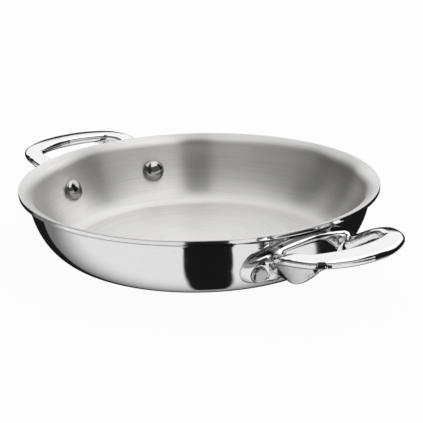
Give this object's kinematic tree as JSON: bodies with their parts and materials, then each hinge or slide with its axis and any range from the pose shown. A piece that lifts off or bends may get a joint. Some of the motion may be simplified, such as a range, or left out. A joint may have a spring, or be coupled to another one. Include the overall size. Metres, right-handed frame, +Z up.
{
  "type": "serving pan",
  "caption": "Shallow round serving pan of clad steel sheet with a flared pouring rim and riveted cast loop handles on opposite sides.",
  "frame": {"origin": "centre of the flat base, on its underside", "axes": "+Z up along the pan's axis, +X towards the right handle, so the handles lie along X"},
  "size_m": [0.304, 0.212, 0.0404],
  "materials": {
    "polished_steel": "mirror-polished stainless steel sheet with faint circular polishing lines",
    "core_aluminium": "bare aluminium core, seen only as a line along the ground rim edge",
    "satin_steel": "satin stainless steel, brushed round the pan's axis",
    "cast_steel": "polished cast stainless steel with softly waved surfaces",
    "rivet_steel": "polished stainless steel rivet"
  },
  "bodies": {
    "root": {"outer_skin": "polished_steel", "core_layer": "core_aluminium", "inner_skin": "satin_steel", "right_handle": "cast_steel", "left_handle": "cast_steel", "right_front_rivet": "rivet_steel", "right_rear_rivet": "rivet_steel", "left_rear_rivet": "rivet_steel", "left_front_rivet": "rivet_steel"}
  },
  "joints": []
}
